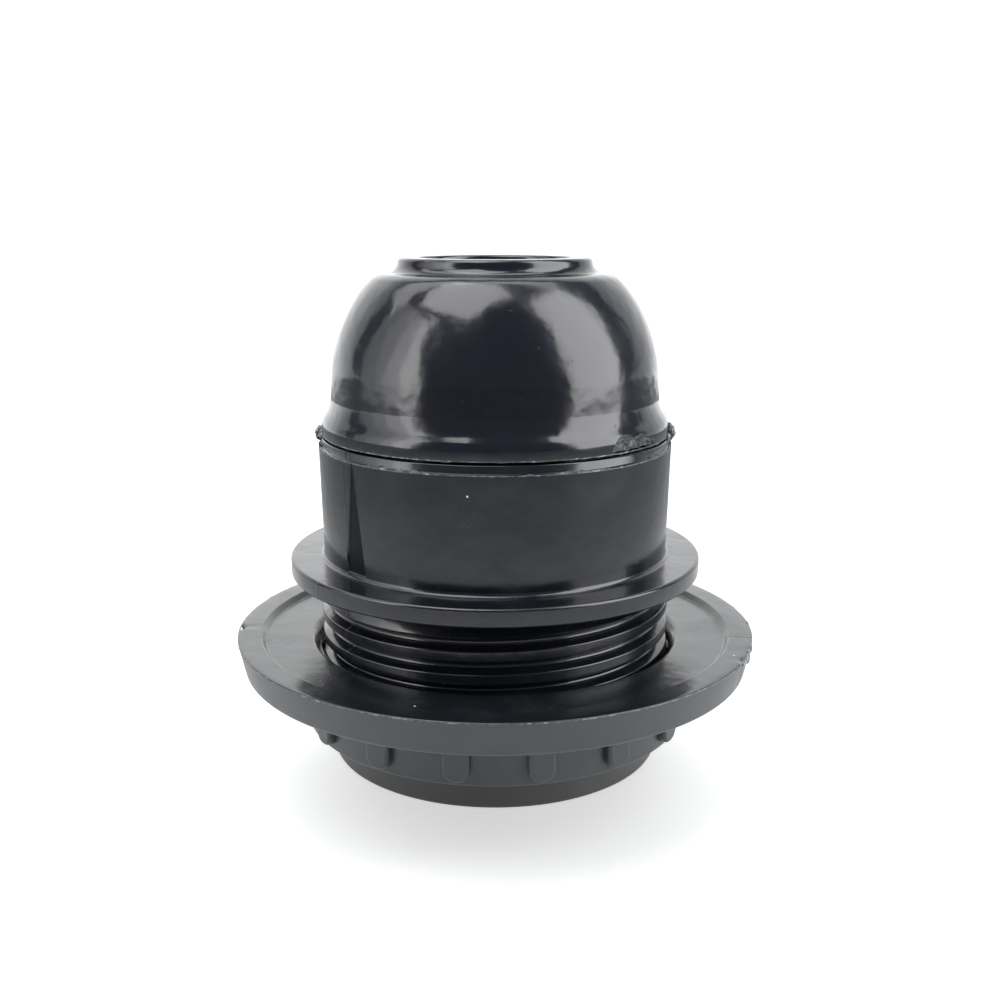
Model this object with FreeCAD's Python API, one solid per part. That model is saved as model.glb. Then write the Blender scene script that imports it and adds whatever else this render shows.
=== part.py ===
import FreeCAD, Part
import math
import os

# E27 lamp holder with a domed cap, a flanged outer shell with a coarse outside thread,
# a screw-on shade ring, and a contact insert held between the cap and the shell.
# Millimetres, +Z up, origin at the centre of the open lower end that the holder stands on.
# The lamp enters from below, the supply enters through the collar on top.

V = FreeCAD.Vector
UP = V(0, 0, 1)
ROUND = "round"
JOIN = 1e-6                  # corners closer than this are one point

# --- outer shell -------------------------------------------------------------------------
end_band_height = 4.2        # plain band under the thread
end_band_r = 19.0
end_band_chamfer = 0.5
thread_length = 16.4         # threaded part, end band to relief
thread_pitch = 2.5
thread_crest_r = 20.0        # 40 mm thread for shades
thread_depth = 1.1
thread_crest_width = 1.05
thread_root_width = 2.0
thread_bite = 0.3            # how far the ridge reaches into the core, so that they fuse
thread_relief = 0.9          # plain run-out between thread and flange
flange_r = 23.4
flange_thickness = 2.0
flange_edge_chamfer = 0.3
body_height = 12.55          # flange top to shoulder
body_flare = 0.3             # moulding draft, the body is wider at its shoulder
body_foot_bevel = 0.5
body_top_chamfer = 0.2
bead_step = 0.35             # low bead on the shoulder, in from the body, for the cap to close on
bead_height = 0.95
bead_chamfer = 0.15
bead_wall = 1.8              # bead to the bore that takes the cap's neck
seat_step = 0.75             # block's bore, smaller in radius than the neck's
seat_ledge_width = 1.0       # ledge that carries the contact block
mouth_chamfer = 0.6
block_seat_height = 26.0     # ledge above the mouth

# --- cap ---------------------------------------------------------------------------------
cap_gap = 0.3                # open joint line between the bead and the cap
cap_lip_inset = 0.05         # lip radius below the bead's
cap_lip_height = 1.5
cap_lip_chamfer = 0.2
cap_shoulder_height = 1.6
cap_shoulder_width = 1.05
cap_wall_draft = 0.4
cap_wall_height = 9.5        # straight wall, measured to where wall and slope would meet
dome_radius = 13.9
dome_slope = 45.0            # degrees, slope of the dome where it meets the crown
crown_height = 5.0           # rise from wall top to the crown face
crown_round = 2.2
crown_width = 2.35           # dome's slope to the collar, across the crown
collar_height = 1.65
collar_foot_bevel = 0.6
collar_chamfer = 0.25
collar_wall = 2.3
recess_depth = 3.8
ceiling_thickness = 2.3      # solid left under the recess floor
neck_wall = 1.6              # neck that screws into the shell
neck_chamfer = 0.4
neck_length = 5.8
neck_clearance = 0.15        # radial, neck to shell bore
neck_end_clearance = 0.4     # axial, under the neck in the shell
inner_dome_bevel = 4.0

# chip broken out of the cap's lip
chip_azimuth = 50.0          # degrees from the front towards +X
chip_radii = (2.6, 2.1, 1.6)
chip_spacing = 6.5           # degrees between the three bites
chip_reach = 1.1             # how far the bites come in from the lip

# --- shade ring --------------------------------------------------------------------------
ring_drop = 7.1              # ring top below the flange, as it stands on the thread
ring_r = 29.85
rim_draft = 0.85
rim_thickness = 3.85
rim_band_width = 2.7         # raised outer band
band_slope_width = 0.9
band_rise = 0.65
ring_edge_chamfer = 0.3
ring_bore_clearance = 0.25   # radial, ring bore to thread crest
ring_mouth_width = 0.95      # countersink round the bore
ring_mouth_depth = 0.95
skirt_wall = 1.75            # at its foot
skirt_draft = 0.2
skirt_height = 6.6
skirt_wall_chamfer = 0.4
rib_count = 16
rib_phase = -10.2            # degrees from the front towards +X
rib_width = 2.9
rib_rise = 0.75              # above the skirt
rib_short = 0.7              # rib end above the skirt foot
rib_chamfer = 0.3
rib_root = 0.8               # how far the rib's root lies inside the skirt's foot radius
rib_sink = 0.2               # how far its upper end runs into the rim

# --- entry bush and its locking screw ----------------------------------------------------
entry_hole_r = 4.46          # core of the M10 x 1 thread
bush_wall = 1.54
bush_clearance = 0.1
bush_lip_width = 0.9         # staked over on the recess floor
bush_lip_height = 0.7
bush_flange_width = 2.0
bush_flange_thickness = 1.3
bush_tail = 5.2              # barrel below its flange
bush_chamfer = 0.3
lock_screw_r = 1.5
lock_screw_length = 4.4
lock_slot_width = 0.5
lock_slot_depth = 0.7

# --- contact block -----------------------------------------------------------------------
block_clearance = 0.2        # radial, block to shell
block_clamp_gap = 0.3        # axial, block rim to cap neck
block_tower_gap = 0.4        # radial, upper block to neck bore
block_tower_height = 4.3
block_chamfer = 0.4
centre_recess_step = 0.4     # its radius, beyond the hole in the screw shell's flange
centre_recess_depth = 1.0
pocket_length = 9.8          # terminal pockets lie either side of a middle wall
pocket_end_room = 3.0        # from the outer rivets to the pocket's end
pocket_end_wall = 2.2        # pocket's end to the outside of the upper block
pocket_width = 9.0
pocket_floor = 4.5           # above the block's underside
screw_hole_depth = 2.5       # blind clearance hole under each terminal screw
screw_hole_r = 2.0

# --- screw shell and contacts ------------------------------------------------------------
screw_shell_r = 13.3         # E27 thread, outer envelope of the lamp's cap
screw_shell_wall = 0.4
screw_shell_mouth = 3.6      # lower rim above the holder's mouth
screw_thread_length = 18.0   # threaded wall, up from the rim
screw_neck_step = 0.6        # plain neck above the thread, smaller in radius
screw_shell_flange_width = 4.1   # flange turned in from the neck
screw_shell_bevel = 0.4
leaf_width = 5.0
leaf_thickness = 0.4
leaf_heel_reach = 2.2        # from the rivet to the heel, where the tongue hinges
leaf_bend_reach = 2.8        # from the rivet to the bend
leaf_low_x = -2.2
leaf_tip_x = -5.0
leaf_travel_gap = 0.6        # room above the heel for the tongue to swing up
leaf_drop = 2.7              # how far the tongue hangs below its heel
leaf_tip_rise = 0.5
rivet_r = 1.1
rivet_clearance = 0.05
leaf_hole_r = 1.35
rivet_head_r = 1.6
rivet_head_height = 0.6
rivet_head_gap = 0.1         # rivet head to pocket wall or washer
rivet_edge_distance = 2.3    # outer rivets, in from the screw shell's neck
shell_rivet_angle = 60.0     # the two plain rivets, either side of +X
rivet_well_r = 2.3

# --- terminals ---------------------------------------------------------------------------
plate_thickness = 1.0
plate_margin = 0.4           # plate edge to pocket wall
washer_edge = 0.3            # live washer to the edge of its plate
terminal_screw_r = 1.5
terminal_head_r = 2.45
terminal_head_height = 1.9
terminal_slot_width = 0.8
terminal_slot_depth = 0.9
terminal_tip_gap = 0.3       # screw tip above the floor of its hole
washer_side = 5.0
washer_thickness = 0.8
washer_clearance = 0.15

# --- radii worked out from the sizes above -----------------------------------------------
thread_root_r = thread_crest_r - thread_depth
screw_neck_r = screw_shell_r - screw_neck_step
screw_shell_hole_r = screw_neck_r - screw_shell_flange_width
centre_recess_r = screw_shell_hole_r + centre_recess_step
shell_rivet_circle_r = screw_neck_r - rivet_edge_distance
pocket_outer_x = shell_rivet_circle_r + pocket_end_room
pocket_inner_x = pocket_outer_x - pocket_length
tower_r = pocket_outer_x + pocket_end_wall
neck_inner_r = tower_r + block_tower_gap
neck_r = neck_inner_r + neck_wall
neck_bore_r = neck_r + neck_clearance
seat_bore_r = neck_bore_r - seat_step
block_r = seat_bore_r - block_clearance
mouth_bore_r = seat_bore_r - seat_ledge_width
bead_r = neck_bore_r + bead_wall
body_top_r = bead_r + bead_step
body_foot_r = body_top_r - body_flare
cap_lip_r = bead_r - cap_lip_inset
cap_wall_foot_r = cap_lip_r - cap_shoulder_width
cap_wall_top_r = cap_wall_foot_r - cap_wall_draft
crown_corner_r = cap_wall_top_r - crown_height / math.tan(math.radians(dome_slope))
collar_r = crown_corner_r - crown_width
recess_r = collar_r - collar_wall
bush_r = entry_hole_r + bush_wall
bush_hole_r = bush_r + bush_clearance
bush_lip_r = bush_r + bush_lip_width
bush_flange_r = bush_r + bush_flange_width
ring_bore_r = thread_crest_r + ring_bore_clearance
ring_mouth_r = ring_bore_r + ring_mouth_width
skirt_foot_r = ring_bore_r + skirt_wall
skirt_top_r = skirt_foot_r + skirt_draft
ring_foot_r = ring_r - rim_draft
rim_band_r = ring_r - rim_band_width

# --- places of the rivets, screws and tongue, along X ------------------------------------
live_rivet_x = pocket_inner_x + rivet_head_gap + rivet_head_r
live_screw_x = pocket_outer_x - plate_margin - washer_edge - washer_side / 2
neutral_screw_x = rivet_head_r + rivet_head_gap + washer_side / 2 - shell_rivet_circle_r
leaf_heel_x = live_rivet_x + leaf_heel_reach
leaf_bend_x = live_rivet_x - leaf_bend_reach

# --- levels worked out from the sizes above ----------------------------------------------
thread_top_z = end_band_height + thread_length
flange_bottom_z = thread_top_z + thread_relief
flange_top_z = flange_bottom_z + flange_thickness
shoulder_z = flange_top_z + body_height
bead_top_z = shoulder_z + bead_height
cap_base_z = bead_top_z + cap_gap
neck_end_z = cap_base_z - neck_length
lip_top_z = cap_base_z + cap_lip_height
wall_foot_z = lip_top_z + cap_shoulder_height
wall_top_z = wall_foot_z + cap_wall_height
crown_z = wall_top_z + crown_height
collar_top_z = crown_z + collar_height
recess_floor_z = collar_top_z - recess_depth
ceiling_z = recess_floor_z - ceiling_thickness
ring_top_z = flange_bottom_z - ring_drop
rim_bottom_z = ring_top_z - rim_thickness
skirt_foot_z = rim_bottom_z - skirt_height
neck_bore_floor_z = neck_end_z - neck_end_clearance
block_rim_top_z = neck_end_z - block_clamp_gap
block_top_z = block_rim_top_z + block_tower_height
pocket_floor_z = block_seat_height + pocket_floor
plate_top_z = pocket_floor_z + plate_thickness
washer_top_z = plate_top_z + washer_thickness
screw_hole_floor_z = pocket_floor_z - screw_hole_depth
recess_ceiling_z = block_seat_height + centre_recess_depth
leaf_heel_z = recess_ceiling_z - leaf_travel_gap - leaf_thickness
bush_foot_z = ceiling_z - bush_flange_thickness - bush_tail


def profile_face(corners):
    """Face in the XZ plane through corners (x, z), (x, z, chamfer) or (x, z, radius, ROUND)."""
    points = [V(corner[0], 0, corner[1]) for corner in corners]
    count = len(corners)
    edges = []
    starts = []
    ends = []
    turns = []
    for index in range(count):
        here = points[index]
        before = (points[index - 1] - here).normalize()
        after = (points[(index + 1) % count] - here).normalize()
        size = corners[index][2] if len(corners[index]) > 2 else 0
        half = before.getAngle(after) / 2
        rounded = ROUND in corners[index][3:]
        reach = size / math.tan(half) if rounded else size
        starts.append(here + before * reach)
        ends.append(here + after * reach)
        bisector = (before + after).normalize()
        middle = here + bisector * (size / math.sin(half) - size)
        turns.append(Part.Arc(starts[-1], middle, ends[-1]).toShape() if rounded else None)
    for index in range(count):
        if turns[index]:
            edges.append(turns[index])
        elif (ends[index] - starts[index]).Length > JOIN:
            edges.append(Part.makeLine(starts[index], ends[index]))
        following = starts[(index + 1) % count]
        if (following - ends[index]).Length > JOIN:
            edges.append(Part.makeLine(ends[index], following))
    return Part.Face(Part.Wire(edges))


def turned(corners):
    """Solid of revolution about Z from such an outline."""
    return profile_face(corners).revolve(V(0, 0, 0), UP, 360)


def cylinder(radius, bottom, top, x=0.0, y=0.0):
    return Part.makeCylinder(radius, top - bottom, V(x, y, bottom))


def block_between(x1, x2, width, bottom, top):
    """Box between two x values, centred on y = 0."""
    return Part.makeBox(x2 - x1, width, top - bottom, V(x1, -width / 2, bottom))


def turned_to(shape, degrees):
    """Copy turned about Z; 0 is the front (-Y), positive towards +X."""
    copy = shape.copy()
    copy.rotate(V(0, 0, 0), UP, degrees - 90)
    return copy


def rivet(x, y, lower_seat, upper_seat):
    """Round rivet that clamps between two seats, with a flat head at each end."""
    shank = cylinder(rivet_r, lower_seat, upper_seat, x, y)
    lower = cylinder(rivet_head_r, lower_seat - rivet_head_height, lower_seat, x, y)
    upper = cylinder(rivet_head_r, upper_seat, upper_seat + rivet_head_height, x, y)
    return shank.multiFuse([lower, upper]).removeSplitter()


# ------------------------------------------------------------------------- outer shell ---
def outside_thread():
    """Trapezoidal ridge wound along the shell, its ends chamfered to the root."""
    turns_height = thread_length + thread_pitch
    start_z = end_band_height - thread_pitch / 2
    helix = Part.makeHelix(thread_pitch, turns_height, thread_root_r)
    helix.translate(V(0, 0, start_z))
    half_root = thread_root_width / 2
    half_crest = thread_crest_width / 2
    flank = (half_root - half_crest) / thread_depth
    half_base = half_root + flank * thread_bite
    core_r = thread_root_r - thread_bite
    section = Part.makePolygon([
        V(core_r, 0, start_z - half_base),
        V(thread_crest_r, 0, start_z - half_crest),
        V(thread_crest_r, 0, start_z + half_crest),
        V(core_r, 0, start_z + half_base),
        V(core_r, 0, start_z - half_base)])
    ridge = Part.Wire(helix.Edges).makePipeShell([section], True, True)
    inner_r = core_r - thread_bite
    outer_r = thread_crest_r + thread_bite
    limits = turned([
        (inner_r, end_band_height),
        (thread_root_r, end_band_height),
        (outer_r, end_band_height + outer_r - thread_root_r),
        (outer_r, thread_top_z - outer_r + thread_root_r),
        (thread_root_r, thread_top_z),
        (inner_r, thread_top_z)])
    return ridge.common(limits)


def outer_shell():
    body = turned([
        (mouth_bore_r, 0, mouth_chamfer),
        (end_band_r, 0, end_band_chamfer),
        (end_band_r, end_band_height),
        (thread_root_r, end_band_height),
        (thread_root_r, flange_bottom_z),
        (flange_r, flange_bottom_z, flange_edge_chamfer),
        (flange_r, flange_top_z, flange_edge_chamfer),
        (body_foot_r, flange_top_z, body_foot_bevel),
        (body_top_r, shoulder_z, body_top_chamfer),
        (bead_r, shoulder_z),
        (bead_r, bead_top_z, bead_chamfer),
        (neck_bore_r, bead_top_z),
        (neck_bore_r, neck_bore_floor_z),
        (seat_bore_r, neck_bore_floor_z),
        (seat_bore_r, block_seat_height),
        (mouth_bore_r, block_seat_height)])
    return body.fuse(outside_thread())


# --------------------------------------------------------------------------------- cap ---
def cap_chip():
    """Three overlapping bites that broke a shell-shaped flake off the lip."""
    bites = []
    for index, radius in enumerate(chip_radii):
        bite = Part.makeSphere(radius, V(cap_lip_r - chip_reach + radius, 0, cap_base_z))
        bites.append(turned_to(bite, chip_azimuth + (index - 1) * chip_spacing))
    return bites[0].multiFuse(bites[1:])


def dome_cap():
    cap = turned([
        (neck_inner_r, neck_end_z),
        (neck_r, neck_end_z, neck_chamfer),
        (neck_r, cap_base_z),
        (cap_lip_r, cap_base_z, cap_lip_chamfer),
        (cap_lip_r, lip_top_z),
        (cap_wall_foot_r, wall_foot_z),
        (cap_wall_top_r, wall_top_z, dome_radius, ROUND),
        (crown_corner_r, crown_z, crown_round, ROUND),
        (collar_r, crown_z, collar_foot_bevel),
        (collar_r, collar_top_z, collar_chamfer),
        (recess_r, collar_top_z, collar_chamfer),
        (recess_r, recess_floor_z),
        (bush_hole_r, recess_floor_z),
        (bush_hole_r, ceiling_z),
        (neck_inner_r, ceiling_z, inner_dome_bevel)])
    return cap.cut(cap_chip())


# -------------------------------------------------------------------------- shade ring ---
def grip_rib():
    """Upright rib on the skirt, round at its lower end, its outer edges chamfered."""
    outer = skirt_top_r + rib_rise
    root = skirt_foot_r - rib_root
    half = rib_width / 2
    low = skirt_foot_z + rib_short
    high = rim_bottom_z + rib_sink
    left = Part.makeLine(V(root, -half, high), V(root, -half, low + half))
    bow = Part.Arc(V(root, -half, low + half), V(root, 0, low), V(root, half, low + half)).toShape()
    right = Part.makeLine(V(root, half, low + half), V(root, half, high))
    top = Part.makeLine(V(root, half, high), V(root, -half, high))
    rib = Part.Face(Part.Wire([left, bow, right, top])).extrude(V(outer - root, 0, 0))
    rim = []
    for edge in rib.Edges:
        box = edge.BoundBox
        on_face = box.XMin > outer - JOIN
        if on_face and box.ZMin < high - JOIN:
            rim.append(edge)
    return rib.makeChamfer(rib_chamfer, rim)


def shade_ring():
    face_z = ring_top_z - band_rise
    ring = turned([
        (ring_bore_r, skirt_foot_z, skirt_wall_chamfer),
        (skirt_foot_r, skirt_foot_z, skirt_wall_chamfer),
        (skirt_top_r, rim_bottom_z),
        (ring_foot_r, rim_bottom_z, ring_edge_chamfer),
        (ring_r, ring_top_z, ring_edge_chamfer),
        (rim_band_r, ring_top_z),
        (rim_band_r - band_slope_width, face_z),
        (ring_mouth_r, face_z),
        (ring_bore_r, face_z - ring_mouth_depth)])
    rib = grip_rib()
    step = 360.0 / rib_count
    ribs = [turned_to(rib, rib_phase + index * step) for index in range(rib_count)]
    return ring.multiFuse(ribs)


# ------------------------------------------------------------------ entry bush and lock ---
def entry_bush():
    flange_foot_z = ceiling_z - bush_flange_thickness
    bush = turned([
        (entry_hole_r, bush_foot_z),
        (bush_r, bush_foot_z, bush_chamfer),
        (bush_r, flange_foot_z),
        (bush_flange_r, flange_foot_z),
        (bush_flange_r, ceiling_z),
        (bush_r, ceiling_z),
        (bush_r, recess_floor_z),
        (bush_lip_r, recess_floor_z),
        (bush_lip_r, recess_floor_z + bush_lip_height, bush_chamfer),
        (entry_hole_r, recess_floor_z + bush_lip_height)])
    lock_z = bush_foot_z + bush_tail / 2
    hole = Part.makeCylinder(lock_screw_r, bush_r, V(0, -entry_hole_r / 2, lock_z), V(0, -1, 0))
    return bush.cut(hole)


def locking_screw():
    lock_z = bush_foot_z + bush_tail / 2
    screw = Part.makeCylinder(lock_screw_r, lock_screw_length, V(0, -entry_hole_r, lock_z), V(0, -1, 0))
    bore = cylinder(entry_hole_r, lock_z - 2 * lock_screw_r, lock_z + 2 * lock_screw_r)
    slot_y = -entry_hole_r - lock_screw_length
    slot = Part.makeBox(4 * lock_screw_r, 2 * lock_slot_depth, lock_slot_width,
                        V(-2 * lock_screw_r, slot_y - lock_slot_depth, lock_z - lock_slot_width / 2))
    return screw.cut(bore).cut(slot)


# ------------------------------------------------------------------------ contact block ---
def plain_rivet_points():
    angle = math.radians(shell_rivet_angle)
    x = shell_rivet_circle_r * math.cos(angle)
    y = shell_rivet_circle_r * math.sin(angle)
    return [(x, y), (x, -y)]


def contact_block():
    block = turned([
        (0, block_seat_height),
        (block_r, block_seat_height, block_chamfer),
        (block_r, block_rim_top_z),
        (tower_r, block_rim_top_z),
        (tower_r, block_top_z, block_chamfer),
        (0, block_top_z)])
    hole_r = rivet_r + rivet_clearance
    cuts = [cylinder(centre_recess_r, block_seat_height - 1, recess_ceiling_z)]
    for side in (1, -1):
        x1, x2 = sorted((side * pocket_inner_x, side * pocket_outer_x))
        cuts.append(block_between(x1, x2, pocket_width, pocket_floor_z, block_top_z + 1))
    for x in (live_screw_x, neutral_screw_x):
        cuts.append(cylinder(screw_hole_r, screw_hole_floor_z, pocket_floor_z + 1, x))
    for x in (live_rivet_x, -shell_rivet_circle_r):
        cuts.append(cylinder(hole_r, block_seat_height - 1, pocket_floor_z + 1, x))
    for x, y in plain_rivet_points():
        cuts.append(cylinder(hole_r, block_seat_height - 1, pocket_floor_z + 1, x, y))
        cuts.append(cylinder(rivet_well_r, pocket_floor_z, block_top_z + 1, x, y))
    return block.cut(Part.makeCompound(cuts))


# --------------------------------------------------------------- screw shell and contact ---
def screw_shell():
    """Drawn shell: threaded wall, a narrower plain neck, and a flange turned in at the top."""
    flange_z = block_seat_height - screw_shell_wall
    thread_end_z = screw_shell_mouth + screw_thread_length
    neck_z = thread_end_z + screw_neck_step
    outer_r = screw_shell_r + screw_shell_wall
    neck_outer_r = screw_neck_r + screw_shell_wall
    shell = turned([
        (screw_shell_r, screw_shell_mouth),
        (outer_r, screw_shell_mouth),
        (outer_r, thread_end_z),
        (neck_outer_r, neck_z),
        (neck_outer_r, block_seat_height, screw_shell_bevel),
        (screw_shell_hole_r, block_seat_height),
        (screw_shell_hole_r, flange_z),
        (screw_neck_r, flange_z, screw_shell_bevel),
        (screw_neck_r, neck_z),
        (screw_shell_r, thread_end_z)])
    holes = []
    for x, y in plain_rivet_points() + [(-shell_rivet_circle_r, 0)]:
        holes.append(cylinder(rivet_r + rivet_clearance, flange_z - 1, block_seat_height + 1, x, y))
    return shell.cut(Part.makeCompound(holes))


def centre_contact():
    """Springy tongue: flat heel under the live rivet, bent down to meet the lamp."""
    top = leaf_heel_z + leaf_thickness
    low = leaf_heel_z - leaf_drop
    t = leaf_thickness
    profile = Part.Face(Part.makePolygon([
        V(leaf_heel_x, 0, top),
        V(leaf_bend_x, 0, top),
        V(leaf_low_x, 0, low + t),
        V(leaf_tip_x, 0, low + t + leaf_tip_rise),
        V(leaf_tip_x, 0, low + leaf_tip_rise),
        V(leaf_low_x, 0, low),
        V(leaf_bend_x, 0, leaf_heel_z),
        V(leaf_heel_x, 0, leaf_heel_z),
        V(leaf_heel_x, 0, top)]))
    tongue = profile.extrude(V(0, leaf_width, 0))
    tongue.translate(V(0, -leaf_width / 2, 0))
    return tongue.cut(cylinder(leaf_hole_r, leaf_heel_z - 1, top + 1, live_rivet_x))


def live_rivet():
    return rivet(live_rivet_x, 0, leaf_heel_z, plate_top_z)


def neutral_rivet():
    return rivet(-shell_rivet_circle_r, 0, block_seat_height - screw_shell_wall, plate_top_z)


def shell_rivets():
    seat = block_seat_height - screw_shell_wall
    return Part.makeCompound([rivet(x, y, seat, pocket_floor_z) for x, y in plain_rivet_points()])


# ---------------------------------------------------------------------------- terminals ---
def terminal_plate(side, screw_x, rivet_x):
    near = side * (pocket_inner_x + plate_margin)
    far = side * (pocket_outer_x - plate_margin)
    x1, x2 = sorted((near, far))
    width = pocket_width - 2 * plate_margin
    plate = block_between(x1, x2, width, pocket_floor_z, plate_top_z)
    tapped = cylinder(terminal_screw_r, pocket_floor_z - 1, plate_top_z + 1, screw_x)
    pinned = cylinder(rivet_r + rivet_clearance, pocket_floor_z - 1, plate_top_z + 1, rivet_x)
    return plate.cut(tapped).cut(pinned)


def terminal_screw(x):
    """Slotted cheese-head screw."""
    shank = cylinder(terminal_screw_r, screw_hole_floor_z + terminal_tip_gap, washer_top_z, x)
    head = cylinder(terminal_head_r, washer_top_z, washer_top_z + terminal_head_height, x)
    slot_z = washer_top_z + terminal_head_height - terminal_slot_depth
    slot = Part.makeBox(terminal_slot_width, 4 * terminal_head_r, 2 * terminal_slot_depth,
                        V(x - terminal_slot_width / 2, -2 * terminal_head_r, slot_z))
    return shank.fuse(head).cut(slot).removeSplitter()


def clamp_washer(x):
    half = washer_side / 2
    washer = block_between(x - half, x + half, washer_side, plate_top_z, washer_top_z)
    return washer.cut(cylinder(terminal_screw_r + washer_clearance, plate_top_z - 1, washer_top_z + 1, x))


def both_terminals(make):
    return Part.makeCompound([make(live_screw_x), make(neutral_screw_x)])


PARTS = {
    "outer_shell": outer_shell(),
    "dome_cap": dome_cap(),
    "shade_ring": shade_ring(),
    "entry_bush": entry_bush(),
    "locking_screw": locking_screw(),
    "contact_block": contact_block(),
    "screw_shell": screw_shell(),
    "centre_contact": centre_contact(),
    "live_rivet": live_rivet(),
    "neutral_rivet": neutral_rivet(),
    "shell_rivets": shell_rivets(),
    "live_plate": terminal_plate(1, live_screw_x, live_rivet_x),
    "neutral_plate": terminal_plate(-1, neutral_screw_x, -shell_rivet_circle_r),
    "terminal_screws": both_terminals(terminal_screw),
    "clamp_washers": both_terminals(clamp_washer),
}

os.makedirs("parts", exist_ok=True)
for name, shape in PARTS.items():
    shape.exportStep("parts/" + name + ".step")
    print(name, "solids", len(shape.Solids), "valid", shape.isValid(), "volume", round(shape.Volume, 2))
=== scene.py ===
# %% [markdown]
# # A moulded lamp holder
# This lesson dresses a black moulded lamp holder: a domed cap, a flanged shell with a coarse
# outside thread, and a ribbed ring that holds a lampshade. The exact model of the holder is
# loaded first, so that every piece we make has a true size and place to go to.

# %% Load the exact model
import bpy
import bmesh
import math
from mathutils import Matrix, Vector, noise


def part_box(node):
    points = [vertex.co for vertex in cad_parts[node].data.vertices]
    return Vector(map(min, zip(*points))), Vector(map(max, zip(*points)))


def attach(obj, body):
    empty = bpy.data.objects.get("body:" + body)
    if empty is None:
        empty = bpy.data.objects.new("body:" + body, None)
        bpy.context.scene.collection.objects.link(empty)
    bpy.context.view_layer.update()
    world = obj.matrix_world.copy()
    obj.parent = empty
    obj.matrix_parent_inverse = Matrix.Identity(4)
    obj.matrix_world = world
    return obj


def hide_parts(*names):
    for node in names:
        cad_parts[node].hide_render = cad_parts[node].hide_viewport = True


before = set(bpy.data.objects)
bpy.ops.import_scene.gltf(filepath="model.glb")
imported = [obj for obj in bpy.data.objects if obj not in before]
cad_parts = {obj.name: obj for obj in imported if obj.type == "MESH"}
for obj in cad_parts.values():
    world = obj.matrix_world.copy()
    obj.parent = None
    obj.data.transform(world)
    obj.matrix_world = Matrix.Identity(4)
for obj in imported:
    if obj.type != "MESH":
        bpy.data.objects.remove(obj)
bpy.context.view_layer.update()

# %% [markdown]
# ## Sizes in millimetres
# Mouldings are drawn in millimetres, and Blender works in metres. One factor, used wherever a
# point is made, keeps the two apart. The outer sizes are read from the exact model, so the
# dressed pieces follow it.

# %% Millimetres, and the sizes that the exact model gives
MM = 0.001
FULL_TURN = 2 * math.pi


def outer_radius(node):
    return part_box(node)[1][0] / MM


def lowest(node):
    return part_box(node)[0][2] / MM


def highest(node):
    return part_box(node)[1][2] / MM


flange_r = outer_radius("outer_shell")
bead_top = highest("outer_shell")
neck_foot = lowest("dome_cap")
collar_top = highest("dome_cap")
ring_r = outer_radius("shade_ring")
ring_foot = lowest("shade_ring")
ring_top = highest("shade_ring")
bush_foot = lowest("entry_bush")
bush_top = highest("entry_bush")
screw_shell_r = outer_radius("screw_shell")
screw_shell_foot = lowest("screw_shell")
screw_shell_top = highest("screw_shell")
print("flange radius", round(flange_r, 2), "ring radius", round(ring_r, 2))
print("height", round(collar_top, 2), "mm")

# %% [markdown]
# ## Ending up with a finished piece
# Every piece ends the same way: its faces are turned outwards, soft edges are shaded smooth and
# hard ones stay sharp, and it is told which moving body it rides on and which model parts it
# stands for. Weighted normals keep the flat faces flat beside their small roundings.

# %% From a bmesh to a finished piece
SOFT_ANGLE = math.radians(38)
FLAT_FACE_WEIGHT = 90


def mesh_of(name, shape, materials=()):
    """Mesh made from a bmesh, which is freed."""
    mesh = bpy.data.meshes.new(name)
    shape.to_mesh(mesh)
    shape.free()
    for material in materials:
        mesh.materials.append(material)
    return mesh


def in_scene(name, data):
    """Object that holds this data, linked to the scene."""
    thing = bpy.data.objects.new(name, data)
    bpy.context.scene.collection.objects.link(thing)
    return thing


def shade(piece):
    piece.data.shade_smooth()
    piece.data.set_sharp_from_angle(angle=SOFT_ANGLE)
    weigh = piece.modifiers.new("weighted_normals", "WEIGHTED_NORMAL")
    weigh.keep_sharp = True
    weigh.weight = FLAT_FACE_WEIGHT


def finish_piece(name, shape, materials, body, nodes):
    """Turn a bmesh into an object that rides on a body and stands for nodes."""
    bmesh.ops.recalc_face_normals(shape, faces=shape.faces)
    piece = in_scene(name, mesh_of(name, shape, materials))
    shade(piece)
    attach(piece, body)
    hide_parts(*nodes)
    print(name, "faces", len(piece.data.polygons))
    return piece


# %% [markdown]
# ## Turned shapes
# Nearly everything on a lamp holder is round about one axis, because it is moulded in round
# tools or turned on a lathe. So we draw half of its section as a chain of corners, round each
# corner with a vertex bevel, and spin the chain about Z. Rounding the corners before the spin
# costs a few points instead of thousands of faces.

# %% A section with rounded corners, spun about Z
def section_of(corners):
    """Closed wire in the XZ plane; each corner is (radius, height, reach of rounding, segments)."""
    shape = bmesh.new()
    points = [shape.verts.new((corner[0] * MM, 0, corner[1] * MM)) for corner in corners]
    for first, second in zip(points, points[1:] + points[:1]):
        shape.edges.new((first, second))
    for point, corner in zip(points, corners):
        if len(corner) > 2:
            bmesh.ops.bevel(shape, geom=[point], offset=corner[2] * MM, offset_type="OFFSET",
                            segments=corner[3], profile=0.5, affect="VERTICES", material=-1)
    return shape


def spun(wire, steps):
    """Spin a wire one full turn about Z and weld the last step to the first."""
    bmesh.ops.spin(wire, geom=wire.verts[:] + wire.edges[:], cent=(0, 0, 0), axis=(0, 0, 1),
                   dvec=(0, 0, 0), angle=FULL_TURN, steps=steps, use_merge=True)
    return wire


def turned(corners, steps=360):
    return spun(section_of(corners), steps)


def join_to(shape, other):
    """Add the faces of other to shape."""
    carrier = mesh_of("carrier", other)
    shape.from_mesh(carrier)
    bpy.data.meshes.remove(carrier)


washer = turned([(3, 0), (5, 0, 0.3, 3), (5, 1, 0.3, 3), (3, 1)])
print("a turned washer has", len(washer.faces), "faces")
washer.free()

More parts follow.
